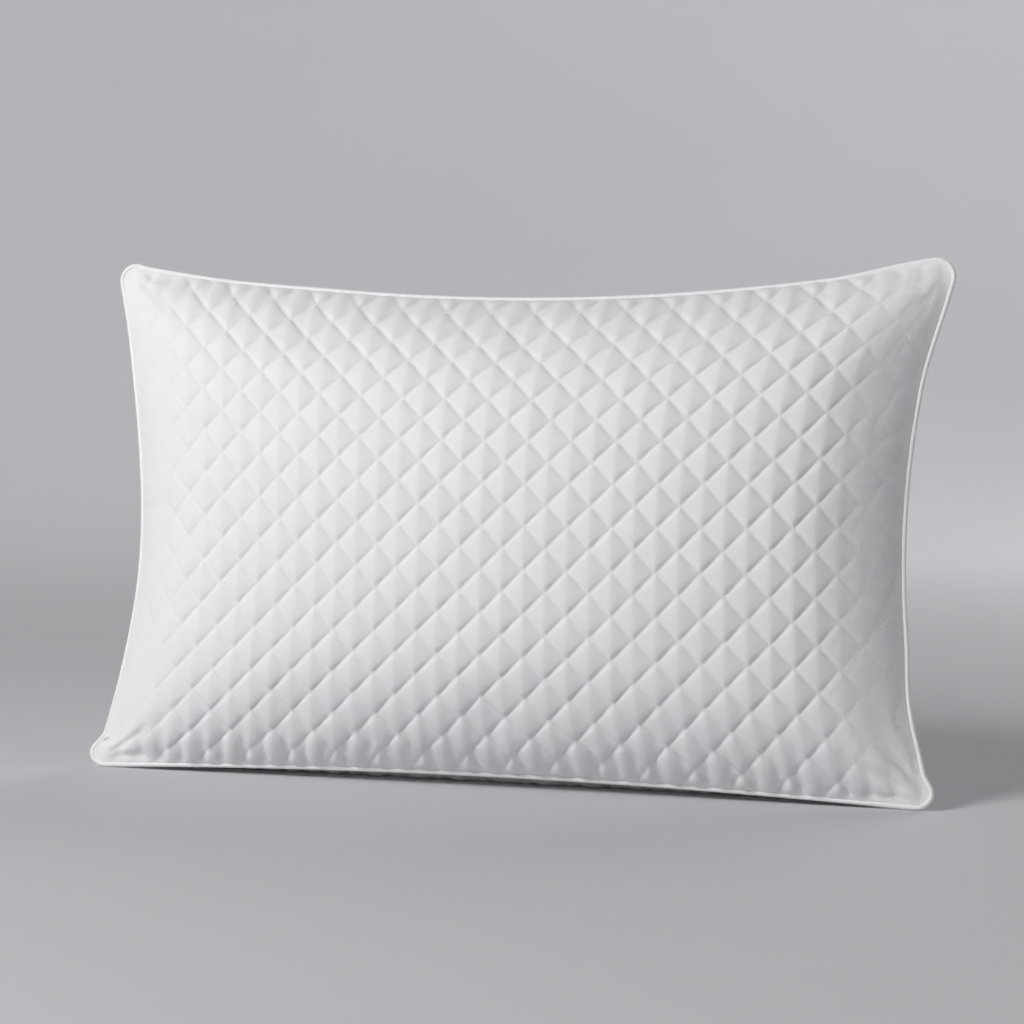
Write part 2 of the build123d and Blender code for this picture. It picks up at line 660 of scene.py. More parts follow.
@dataclass(frozen=True)
class WovenCottonLiner(Textile):
    """Liner: plain-woven downproof cotton, closely set and pressed.

    It is a little creamier than the cover, with an even, flat grain. The yarns are drawn 0.8 mm
    apart where real ones lie 0.25 mm apart, so that they show.
    """

    name: str = "plain_woven_cotton"
    light: str = "#F5F2EA"
    shade: str = "#EBE7DD"
    patch_mm: float = 30.0
    roughness: float = 0.78
    sheen: float = 0.12
    pitch_mm: float = 0.8


@dataclass(frozen=True)
class CrimpedFibre(Textile):
    """Filling: loose crimped hollow polyester fibre, bright and springy like cotton wool.

    The tufts are 3 mm across, about the size at which such fibre clumps.
    """

    name: str = "crimped_hollow_fibre"
    light: str = "#FAFAF8"
    shade: str = "#E6E6E4"
    patch_mm: float = 22.0
    roughness: float = 0.90
    sheen: float = 0.35
    pitch_mm: float = 3.0
    relief_mm: float = 1.2
    relief_strength: float = 0.9

    def relief(self, tree: bpy.types.NodeTree, place: bpy.types.NodeSocket) -> bpy.types.NodeSocket:
        """Curly tufts of fibre.

        Args:
            tree: The material's node tree.
            place: Where the pattern is laid out.

        Returns:
            Height of the relief, from about 0 to 1.
        """
        scale = noise_scale(self.pitch_mm)
        curls = {"Vector": place, "Scale": scale, "Detail": 8.0, "Distortion": 3.0}
        return add_node(tree, "ShaderNodeTexNoise", curls).outputs[0]


@dataclass(frozen=True)
class TwistedCotton(Textile):
    """Filler cord in the piping: soft-twisted cotton strands that run round it at a slant."""

    name: str = "twisted_cotton_cord"
    light: str = "#F3F0E8"
    shade: str = "#E2DED3"
    patch_mm: float = 6.0
    roughness: float = 0.88
    pitch_mm: float = 1.8
    relief_mm: float = 0.35

    def relief(self, tree: bpy.types.NodeTree, place: bpy.types.NodeSocket) -> bpy.types.NodeSocket:
        """Slanting strands."""
        return self.yarn_rows(tree, place, "DIAGONAL", self.pitch_mm, 0.5)


@dataclass(frozen=True)
class SpunPolyesterThread(Textile):
    """Sewing thread: core-spun polyester, smooth, so each stitch shows as a small bright dot."""

    name: str = "core_spun_polyester_thread"
    light: str = "#FDFDFC"
    shade: str = "#F3F3F3"
    patch_mm: float = 3.0
    roughness: float = 0.50
    sheen: float = 0.0
    pitch_mm: float = 0.5
    relief_mm: float = 0.05

    def relief(self, tree: bpy.types.NodeTree, place: bpy.types.NodeSocket) -> bpy.types.NodeSocket:
        """Ply twist."""
        return self.yarn_rows(tree, place, "DIAGONAL", self.pitch_mm, 0.3)


@dataclass(frozen=True)
class BackdropPaper(Textile):
    """Studio floor: seamless matt paper with a barely visible tooth."""

    name: str = "matt_backdrop_paper"
    light: str = "#D3D4D6"
    shade: str = "#CFD0D3"
    patch_mm: float = 900.0
    roughness: float = 0.92
    sheen: float = 0.0
    pitch_mm: float = 2.0
    relief_mm: float = 0.03

    def relief(self, tree: bpy.types.NodeTree, place: bpy.types.NodeSocket) -> bpy.types.NodeSocket:
        """Tooth of the paper."""
        tooth = {"Vector": place, "Scale": noise_scale(self.pitch_mm)}
        return add_node(tree, "ShaderNodeTexNoise", tooth).outputs[0]


class Finishes:
    """One material of each finish, made once and shared by the pieces."""

    def __init__(self) -> None:
        """Make the materials."""
        self.knit = KnittedPolyester().make()
        self.sateen = WovenSateenStrip().make()
        self.wadding = NeedledWadding().make()
        self.scrim = SpunbondScrim().make()
        self.liner = WovenCottonLiner().make()
        self.fibre = CrimpedFibre().make()
        self.cord = TwistedCotton().make()
        self.thread = SpunPolyesterThread().make()
        self.paper = BackdropPaper().make()


# ---------------------------------------------------------------------------------------------
# Seam outline
# ---------------------------------------------------------------------------------------------


@dataclass(frozen=True)
class Ear:
    """How one corner of this pillow differs from the even outline."""

    sign_s: int
    sign_t: int
    pull_s: float = 0.0
    pull_t: float = 0.0
    neck: float = 0.0
    neck_run: float = 0.15
    top_neck: float = 0.0
    tip_size: float = 0.035
    pull_run: float = 0.075
    neck_start: float = 0.008
    neck_rise: float = 0.024
    neck_hold: float = 0.4

    def shift(self, line: np.ndarray, upright: bool, spans: tuple) -> np.ndarray:
        """Shift of the points of one side: the ear pulled out, and the neck beside it drawn in.

        Args:
            line: Points of the side, as (count, 2).
            upright: Whether it is the left or the right side.
            spans: Width and height of the outline.

        Returns:
            Shifts as (count, 2).
        """
        corner = np.array([self.sign_s * spans[0] / 2, spans[1] * (1 + self.sign_t) / 2])
        away = np.linalg.norm(line - corner, axis=1)
        pull = 1 - smooth_step((away - self.tip_size) / self.pull_run)
        shift = pull[:, None] * np.array([self.pull_s, self.pull_t])
        hold = self.neck_hold * self.neck_run
        neck = smooth_step((away - self.neck_start) / self.neck_rise)
        neck *= 1 - smooth_step((away - hold) / (self.neck_run - hold))
        if upright:
            shift[:, 0] -= self.sign_s * self.neck * neck
        else:
            shift[:, 1] -= self.sign_t * self.top_neck * neck
        return shift


@dataclass
class SeamOutline:
    """Line of the seam in the leaning seam plane: four bowed sides that meet in rounded ears."""

    span_s: float = 0.772
    span_t: float = 0.466
    top_bow: float = 0.035
    bottom_bow: float = 0.010
    side_bow: float = 0.034
    ear_radius: float = 0.015
    lean: float = math.radians(9.0)
    cord_radius: float = 0.0015
    points_per_side: int = 4000
    ear_points: int = 121
    ears: tuple = (
        Ear(-1, -1, neck=0.0110, neck_run=0.38),
        Ear(1, -1, pull_s=0.0040, neck=0.0060, neck_run=0.15),
        Ear(1, 1, pull_s=0.0055, pull_t=0.0055),
        Ear(-1, 1, top_neck=0.0028, neck_run=0.22),
    )
    sides: dict = field(default_factory=dict)

    def __post_init__(self) -> None:
        """Work out the four sides and the height of the seam over the floor."""
        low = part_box("piping_cord")[0]
        self.rise = 0.0
        self.build_sides()
        lowest = min(side[:, 1].min() for side in self.sides.values())
        self.rise = low[2] + self.cord_radius - lowest * math.cos(self.lean)
        spans = (self.span_s, self.span_t)
        for name, line in self.sides.items():
            upright = name in ("left", "right")
            self.sides[name] = line + sum(ear.shift(line, upright, spans) for ear in self.ears)
        LOG.info("seam %.1f mm above the floor at its ears", 1000 * low[2])

    def arc(self, start: np.ndarray, end: np.ndarray, bow: float) -> tuple:
        """Centre, radius and end angles of one bowed side.

        Args:
            start: First sharp corner.
            end: Second sharp corner.
            bow: How far the middle is pulled in.

        Returns:
            Centre, radius, first angle and turn.
        """
        middle = (start + end) / 2
        inward = np.array([0.0, self.span_t / 2]) - middle
        inward /= np.linalg.norm(inward)
        half = np.linalg.norm(end - start) / 2
        radius = (half * half + bow * bow) / (2 * bow)
        centre = middle + inward * (bow - radius)
        first = math.atan2(*(start - centre)[::-1])
        last = math.atan2(*(end - centre)[::-1])
        turn = (last - first + math.pi) % (2 * math.pi) - math.pi
        return centre, radius, first, turn

    def build_sides(self) -> None:
        """Lay out the four bowed sides and their rounded ears, cut at the ear tips."""
        x, t = self.span_s / 2, self.span_t
        corners = [np.array(c) for c in ((-x, 0.0), (x, 0.0), (x, t), (-x, t))]
        bows = (self.bottom_bow, self.side_bow, self.top_bow, self.side_bow)
        lines = []
        for k, bow in enumerate(bows):
            centre, radius, first, turn = self.arc(corners[k], corners[(k + 1) % 4], bow)
            angles = first + turn * np.linspace(0, 1, self.points_per_side)
            lines.append(centre + radius * np.stack([np.cos(angles), np.sin(angles)], 1))
        ears = [self.ear(lines[k - 1], lines[k]) for k in range(4)]
        for k, name in enumerate(("bottom", "right", "top", "left")):
            ear_here, _, start_cut = ears[k]
            ear_next, end_cut, _ = ears[(k + 1) % 4]
            half = len(ear_here) // 2
            side = np.concatenate([ear_here[half:], lines[k][start_cut:end_cut], ear_next[: half + 1]])
            self.sides[name] = side[::-1] if name in ("top", "left") else side

    def ear(self, before: np.ndarray, after: np.ndarray) -> tuple:
        """Rounding arc between two sides.

        Args:
            before: Points of the side that ends at the corner.
            after: Points of the side that starts at the corner.

        Returns:
            The arc's points, the last point kept of before and the first kept of after.
        """

        def inside_offset(line: np.ndarray) -> np.ndarray:
            """The line moved into the pillow by the ear radius.

            Args:
                line: Points of one side, as (count, 2).

            Returns:
                The moved points.
            """
            step = np.gradient(line, axis=0)
            step /= np.linalg.norm(step, axis=1, keepdims=True)
            return line + self.ear_radius * np.stack([-step[:, 1], step[:, 0]], 1)

        reach = len(before) // 6
        first = inside_offset(before)[-reach:]
        second = inside_offset(after)[:reach]
        gaps = np.linalg.norm(first[:, None, :] - second[None, :, :], axis=2)
        i, j = np.unravel_index(np.argmin(gaps), gaps.shape)
        centre = (first[i] + second[j]) / 2
        keep_before = len(before) - reach + i
        start = before[keep_before] - centre
        end = after[j] - centre
        first_angle = math.atan2(start[1], start[0])
        turn = (math.atan2(end[1], end[0]) - first_angle) % (2 * math.pi)
        angles = first_angle + turn * np.linspace(0, 1, self.ear_points)
        arc = centre + self.ear_radius * np.stack([np.cos(angles), np.sin(angles)], 1)
        return arc, keep_before, j

    def along(self, side: str, count: int) -> np.ndarray:
        """Evenly spaced points along one side, from ear tip to ear tip.

        Args:
            side: bottom, right, top or left.
            count: Number of points.

        Returns:
            Points as (count, 2) in the seam plane.
        """
        return evenly_along(self.sides[side], count)[0]

    def filled(self, columns: int, rows: int) -> np.ndarray:
        """Grid of points that fills the outline.

        Args:
            columns: Number of points across.
            rows: Number of points upward.

        Returns:
            Points as (columns, rows, 2) in the seam plane.
        """
        bottom = self.along("bottom", columns)[:, None, :]
        top = self.along("top", columns)[:, None, :]
        left = self.along("left", rows)[None, :, :]
        right = self.along("right", rows)[None, :, :]
        a = np.linspace(0, 1, columns)[:, None, None]
        b = np.linspace(0, 1, rows)[None, :, None]
        grid = bottom * (1 - b) + top * b + left * (1 - a) + right * a
        low = bottom[:1] * (1 - a) + bottom[-1:] * a
        high = top[:1] * (1 - a) + top[-1:] * a
        return grid - low * (1 - b) - high * b

    def to_world(self, plane: np.ndarray, off: np.ndarray) -> np.ndarray:
        """Turn seam plane points into the pillow's own frame.

        Args:
            plane: Points in the seam plane, last axis (s, t).
            off: Distance of each point behind the seam plane.

        Returns:
            Points with x, y and z.
        """
        s, t = plane[..., 0], plane[..., 1]
        y = (t - self.span_t / 2) * math.sin(self.lean) + off * math.cos(self.lean)
        z = self.rise + t * math.cos(self.lean) - off * math.sin(self.lean)
        return np.stack([s, y, z], -1)

    def to_seam(self, points: np.ndarray) -> tuple:
        """Turn points of the pillow's own frame into seam plane points.

        Args:
            points: Points with x, y and z.

        Returns:
            Places from the seam plane's middle, last axis (s, t), and distances behind the plane.
        """
        y = points[..., 1]
        z = points[..., 2] - self.rise - self.span_t / 2 * math.cos(self.lean)
        off = y * math.cos(self.lean) - z * math.sin(self.lean)
        up = y * math.sin(self.lean) + z * math.cos(self.lean)
        return np.stack([points[..., 0], up], -1), off


# ---------------------------------------------------------------------------------------------
# Filled shape by cloth simulation
# ---------------------------------------------------------------------------------------------


@dataclass
class PillowForm:
    """The cover blown up by its filling: two flat cut panels sewn together round the seam."""

    seam: SeamOutline
    line_spacing: float = 0.030
    steps_per_diamond: int = 4
    steps_across: int = 75
    steps_upward: int = 47
    start_loft: float = 0.160
    slack: float = 0.006
    smoothing: int = 6
    pressure: float = 4.0
    frames: int = 40
    settle_drop: float = 0.060
    settle_depth: float = 0.032
    floor_softness: float = 0.005
    seam_setback: float = 0.0012
    border_inset: float = 0.0006
    seam_margin: float = 0.0030
    cloth_settings: dict = field(
        default_factory=lambda: {
            "quality": 6,
            "mass": 0.25,
            "tension_stiffness": 60,
            "compression_stiffness": 30,
            "shear_stiffness": 12,
            "bending_stiffness": 4,
            "tension_damping": 12,
            "compression_damping": 12,
            "shear_damping": 8,
            "bending_damping": 1,
            "air_damping": 6,
            "pin_stiffness": 1,
        }
    )

    def __post_init__(self) -> None:
        """Work out the grid, whose points fall on the quilting lines, and inflate the cover."""
        self.diamond = self.line_spacing * math.sqrt(2)
        self.grid_step = self.diamond / self.steps_per_diamond
        self.cut_width = self.grid_step * self.steps_across
        self.cut_height = self.grid_step * self.steps_upward
        self.columns = self.steps_across + 1
        self.rows = self.steps_upward + 1
        self.coarse = self.inflate()

    def start_grids(self) -> dict:
        """First guess of both bellies, as a plain lens on the seam outline.

        Returns:
            Grids of points by side, as (columns, rows, 3).
        """
        plane = self.seam.filled(self.columns, self.rows)
        u = np.linspace(-1, 1, self.columns)[:, None]
        v = np.linspace(-1, 1, self.rows)[None, :]
        swell = self.start_loft / 2 * np.sqrt(np.maximum((1 - u**2) * (1 - v**2), 0))
        return {side: self.seam.to_world(plane, side.value * swell) for side in Side}

    def inflate(self) -> dict:
        """Blow up the two sewn panels with Blender's cloth and read the result back.

        Returns:
            Grids of points by side, as (columns, rows, 3).
        """
        grids = self.start_grids()
        columns, rows = self.columns, self.rows
        front = grids[Side.FRONT].reshape(-1, 3)
        number = np.arange(columns * rows).reshape(columns, rows)
        back_number = number.copy()
        inner = number[1:-1, 1:-1]
        back_number[1:-1, 1:-1] = columns * rows + np.arange(inner.size).reshape(inner.shape)
        back = grids[Side.BACK][1:-1, 1:-1].reshape(-1, 3)
        faces = grid_faces(columns, rows, 0, False)
        lookup = back_number.ravel()
        faces += [[int(lookup[k]) for k in quad[::-1]] for quad in faces]
        form = new_object("pillow_form", np.concatenate([front, back]), faces)
        edge = np.concatenate([number[0], number[-1], number[:, 0], number[:, -1]])
        group = form.vertex_groups.new(name="seam")
        group.add([int(k) for k in np.unique(edge)], 1.0, "REPLACE")
        self.run_cloth(form)
        points = self.read_points(form)
        bpy.data.objects.remove(form)
        return {
            Side.FRONT: self.smoothed(points[number]),
            Side.BACK: self.smoothed(points[back_number]),
        }

    def smoothed(self, grid: np.ndarray) -> np.ndarray:
        """Ease out dents smaller than the loose filling would leave in the cover.

        Args:
            grid: Points of one belly.

        Returns:
            The eased points, with the same border.
        """
        grid = grid.copy()
        for _ in range(self.smoothing):
            around = grid[:-2, 1:-1] + grid[2:, 1:-1] + grid[1:-1, :-2] + grid[1:-1, 2:]
            grid[1:-1, 1:-1] += 0.5 * (around / 4 - grid[1:-1, 1:-1])
        return grid

    def run_cloth(self, form: bpy.types.Object) -> None:
        """Run the inflation.

        Args:
            form: The closed starting mesh, with its seam group.
        """
        cloth = form.modifiers.new("inflate", "CLOTH")
        settings = cloth.settings
        for name, value in self.cloth_settings.items():
            setattr(settings, name, value)
        settings.vertex_group_mass = "seam"
        settings.shrink_min = -self.slack
        settings.use_pressure = True
        settings.uniform_pressure_force = self.pressure
        settings.effector_weights.gravity = 0
        cloth.collision_settings.use_collision = False
        cloth.point_cache.frame_end = self.frames
        scene = bpy.context.scene
        scene.frame_start = 1
        scene.frame_end = self.frames
        for step in range(1, self.frames + 1):
            scene.frame_set(step)
        off = self.seam.to_seam(self.read_points(form))[1]
        LOG.info("inflated to a loft of %.1f mm", 1000 * (off.max() - off.min()))

    @staticmethod
    def read_points(form: bpy.types.Object) -> np.ndarray:
        """Points of an object with its modifiers.

        Args:
            form: The object.

        Returns:
            Points as (count, 3).
        """
        evaluated = form.evaluated_get(bpy.context.evaluated_depsgraph_get())
        mesh = evaluated.to_mesh()
        points = np.zeros(len(mesh.vertices) * 3, np.float32)
        mesh.vertices.foreach_get("co", points)
        evaluated.to_mesh_clear()
        return points.reshape(-1, 3).astype(float)

    def cloth_places(self, columns: int, rows: int) -> np.ndarray:
        """Places on the flat cut cloth, from its middle.

        Args:
            columns: Number of points across.
            rows: Number of points upward.

        Returns:
            Places as (columns, rows, 2), in metres.
        """
        across = np.linspace(-0.5, 0.5, columns) * self.cut_width
        upward = np.linspace(-0.5, 0.5, rows) * self.cut_height
        return np.stack(np.meshgrid(across, upward, indexing="ij"), -1)

    def refined(self, side: Side, factor: int) -> np.ndarray:
        """One belly at a finer spacing, settled on the floor.

        Args:
            side: Which belly.
            factor: Fine steps in each coarse step.

        Returns:
            Points as (columns, rows, 3).
        """
        grid = self.coarse[side]
        if factor > 1:
            wide = cubic_refine(self.columns, factor)
            high = cubic_refine(self.rows, factor)
            grid = np.einsum("ia,abk,jb->ijk", wide, grid, high)
        grid = self.fit_to_seam(grid, side, factor)
        return self.settle(grid) if side is Side.BACK else grid

    def inside(self, side: Side, depth: float) -> np.ndarray:
        """One belly's coarse grid moved into the pillow, never past the seam plane.

        Args:
            side: Which belly.
            depth: Distance under the outside.

        Returns:
            Points as (columns, rows, 3).
        """
        plane, off = self.seam.to_seam(self.refined(side, 1))
        half = np.array([self.seam.span_s, self.seam.span_t]) / 2
        plane = plane * (1 - (depth + self.seam_margin) / half)
        plane[..., 1] += half[1]
        off = np.abs(off)
        closer = self.seam_setback + off**2 / (off + depth)
        return self.seam.to_world(plane, side.value * closer)

    def sheet(self, side: Side, outer: float, inner: float) -> tuple:
        """Even closed sheet under one belly.

        Args:
            side: Which belly.
            outer: Depth of its outer face.
            inner: Depth of its inner face.

        Returns:
            Points and faces.
        """
        first = self.inside(side, outer)
        second = self.inside(side, inner)
        return closed_between(first, second, side is Side.BACK)

    def closed_body(self, depth: float) -> tuple:
        """Closed body that fills the pillow under a depth, across the seam plane.

        Args:
            depth: Distance under the outside.

        Returns:
            Points and faces.
        """
        front = self.inside(Side.FRONT, depth)
        back = self.inside(Side.BACK, depth)
        return closed_between(front, back, False)

    def fit_to_seam(self, grid: np.ndarray, side: Side, factor: int) -> np.ndarray:
        """Bring the border exactly onto the seam, easing the change in over a short way.

        Args:
            grid: Points of one belly.
            side: Which belly.
            factor: Fine steps in each coarse step.

        Returns:
            The corrected points.
        """
        columns, rows = grid.shape[:2]
        reach = 2 * factor
        off = side.value * self.seam_setback
        wanted = {}
        for name, count in (("bottom", columns), ("top", columns), ("left", rows), ("right", rows)):
            line = self.seam.along(name, count)
            middle = np.array([0.0, self.seam.span_t / 2])
            inward = middle - line
            inward /= np.linalg.norm(inward, axis=1, keepdims=True)
            wanted[name] = self.seam.to_world(line + inward * self.border_inset, np.full(count, off))
        fixed = grid.copy()
        fade_j = np.clip(1 - np.arange(rows) / reach, 0, 1)[None, :, None]
        fixed += (wanted["bottom"] - grid[:, 0])[:, None, :] * fade_j
        fixed += (wanted["top"] - grid[:, -1])[:, None, :] * fade_j[:, ::-1]
        fade_i = np.clip(1 - np.arange(columns) / reach, 0, 1)[:, None, None]
        left_gap = (wanted["left"] - fixed[0])[None, :, :]
        right_gap = (wanted["right"] - fixed[-1])[None, :, :]
        fixed += left_gap * fade_i
        fixed += right_gap * fade_i[::-1]
        return fixed

    def settle(self, grid: np.ndarray) -> np.ndarray:
        """Lower the back of the pillow onto the floor and flatten it there.

        Args:
            grid: Points of the back belly.

        Returns:
            The settled points.
        """
        weight = smooth_step(self.seam.to_seam(grid)[1] / self.settle_depth)
        share = np.linspace(0, 1, grid.shape[1])
        drop = self.settle_drop * (1 - share)[None, :] ** 2
        landed = soft_floor(grid[..., 2] - drop, self.floor_softness)
        settled = grid.copy()
        settled[..., 2] += (landed - grid[..., 2]) * weight
        return settled


# ---------------------------------------------------------------------------------------------
# Quilting
# ---------------------------------------------------------------------------------------------


@dataclass
class Quilting:
    """Relief that the stitched diamonds, puckers and folds give to a panel."""

    form: PillowForm
    puff: float = 0.0008
    ridge: float = 0.0024
    crest: float = 0.05
    shoulder: float = 0.0019
    deepest: float = 0.0029
    pucker: float = 0.0040
    pucker_reach: float = 0.024
    side_pucker: float = 0.0007
    side_reach: float = 0.038
    plain_border: float = 0.030
    plain_margin: float = 0.100
    plain_share: float = 0.10
    fold: float = 0.0036
    fold_reach: float = 0.062
    fold_start: float = 0.010
    fold_rise: float = 0.025
    fold_turns: float = 5.2
    fold_wander: float = 0.8
    fold_corner: float = 0.004
    upper_fold: float = 0.35
    crease: float = 0.0005
    crease_reach: float = 0.060
    crease_lean: float = math.radians(28)
    crease_length: float = 0.055
    crease_spacing: float = 0.017
    crease_width: float = 0.25
    upper_pucker: float = 0.45
    side_pucker_pitch: float = 0.0165
    unevenness: float = 0.15
    landing: float = 0.0004

    def __post_init__(self) -> None:
        """Take the sizes of the cut cloth from the form."""
        self.diamond = self.form.diamond
        self.line_spacing = self.form.line_spacing
        self.half_width = self.form.cut_width / 2
        self.half_height = self.form.cut_height / 2

    def lattice(self, place: np.ndarray) -> tuple:
        """Lattice numbers, which are whole on the two families of stitched lines.

        Args:
            place: Places on the cut cloth.

        Returns:
            The two numbers of every place.
        """
        x, z = place[..., 0], place[..., 1]
        return (z + x) / self.diamond, (z - x) / self.diamond

    def edge_distances(self, place: np.ndarray) -> tuple:
        """Distances to the side seams and to the top and bottom seams.

        Args:
            place: Places on the cut cloth.

        Returns:
            The two distances of every place.
        """
        side = self.half_width - np.abs(place[..., 0])
        level = self.half_height - np.abs(place[..., 1])
        return side, level

    def height(self, place: np.ndarray) -> np.ndarray:
        """Relief over the level of the stitched lines, in metres.

        Args:
            place: Places on the cut cloth.

        Returns:
            Heights along the panel's outward normal; stitched lines are the lowest.
        """
        side, level = self.edge_distances(place)
        inner = smooth_step((side - self.plain_border) / (self.plain_margin - self.plain_border))
        calm = self.plain_share + (1 - self.plain_share) * inner
        relief = calm * self.diamonds(place)
        relief += self.puckers(place, side, level) + self.folds(place) + self.creases(place, side)
        return soft_floor(relief + self.deepest, self.landing) - self.deepest

    def diamonds(self, place: np.ndarray) -> np.ndarray:
        """Roof-shaped diamonds: two flat slopes that meet in an upright crest.

        Args:
            place: Places on the cut cloth.

        Returns:
            Heights over the stitched lines, in metres.
        """
        first, second = self.lattice(place)
        rise = 1.0
        for number in (first, second):
            near = np.abs(number - np.round(number)) * self.line_spacing
            rise = rise * (1 - np.exp(-near / self.shoulder))
        inner_first = np.floor(first + 1e-9)
        inner_second = np.floor(second + 1e-9)
        middle = (inner_first - inner_second) * self.diamond / 2
        aside = (place[..., 0] - middle) / (self.diamond / 2)
        roof = np.clip(1 - np.sqrt(aside**2 + self.crest**2), 0, 1)
        dome = np.abs(np.sin(math.pi * first) * np.sin(math.pi * second))
        uneven = 1 + self.unevenness * lattice_noise(inner_first * 1.7, inner_second * 1.3, 7)
        return rise * uneven * (self.puff * (0.75 + 0.25 * dome) + self.ridge * roof)

    def creases(self, place: np.ndarray, side: np.ndarray) -> np.ndarray:
        """Faint slanting creases in the calmer cloth beside the side seams.

        Args:
            place: Places on the cut cloth.
            side: Distances to the side seams.

        Returns:
            Heights, none above 0.
        """
        sine, cosine = math.sin(self.crease_lean), math.cos(self.crease_lean)
        outward = np.abs(place[..., 0])
        along = (outward * sine + place[..., 1] * cosine) / self.crease_length
        across = (outward * cosine - place[..., 1] * sine) / self.crease_spacing
        noise = lattice_noise(across, along, 41)
        line = np.clip(1 - np.abs(noise) / self.crease_width, 0, 1)
        return -self.crease * smooth_step(line) * np.exp(-np.maximum(side, 0) / self.crease_reach)

    def puckers(self, place: np.ndarray, side: np.ndarray, level: np.ndarray) -> np.ndarray:
        """Gathers that run in from the seams.

        Args:
            place: Places on the cut cloth.
            side: Distances to the side seams.
            level: Distances to the top and bottom seams.

        Returns:
            Heights, none above 0.
        """
        x, z = place[..., 0], place[..., 1]
        phase = x / (self.diamond / 2) + 0.22 * lattice_noise(x / 0.05, z / 0.02, 11)
        wave = 0.5 + 0.5 * np.cos(2 * math.pi * phase)
        strength = 0.75 + 0.45 * lattice_noise(x / 0.031, z * 0 + 5.5, 13)
        lower = np.where(z < 0, 1.0, self.upper_pucker)
        along_level = -self.pucker * strength * lower * (1 - wave) ** 2
        along_level = along_level * np.exp(-np.maximum(level, 0) / self.pucker_reach)
        phase = z / self.side_pucker_pitch + 0.5 * lattice_noise(z / 0.04, x / 0.03, 17)
        wave = 0.5 + 0.5 * np.cos(2 * math.pi * phase)
        strength = 0.7 + 0.6 * lattice_noise(z / 0.045, x * 0 + 2.5, 19)
        along_side = -self.side_pucker * strength * wave
        along_side = along_side * np.exp(-np.maximum(side, 0) / self.side_reach)
        return along_level + along_side

    def folds(self, place: np.ndarray) -> np.ndarray:
        """Folds that run out of the ears towards the middle.

        Args:
            place: Places on the cut cloth.

        Returns:
            Heights, none above 0.
        """
        total = np.zeros(place.shape[:-1])
        for sign_x in (-1, 1):
            for sign_z in (-1, 1):
                dx = self.half_width - self.fold_corner - place[..., 0] * sign_x
                dz = self.half_height - self.fold_corner - place[..., 1] * sign_z
                away = np.hypot(dx, dz) + 1e-6
                angle = np.arctan2(dz, dx)
                strength = 1.0 if sign_z < 0 else self.upper_fold
                noise = lattice_noise(away / 0.03, angle * 2, 23 + sign_x)
                phase = self.fold_turns * angle + self.fold_wander * noise
                fade = np.exp(-((away / self.fold_reach) ** 2))
                fade *= smooth_step((away - self.fold_start) / self.fold_rise)
                total -= self.fold * strength * fade * (0.5 + 0.5 * np.cos(2 * phase)) ** 1.5
        return total


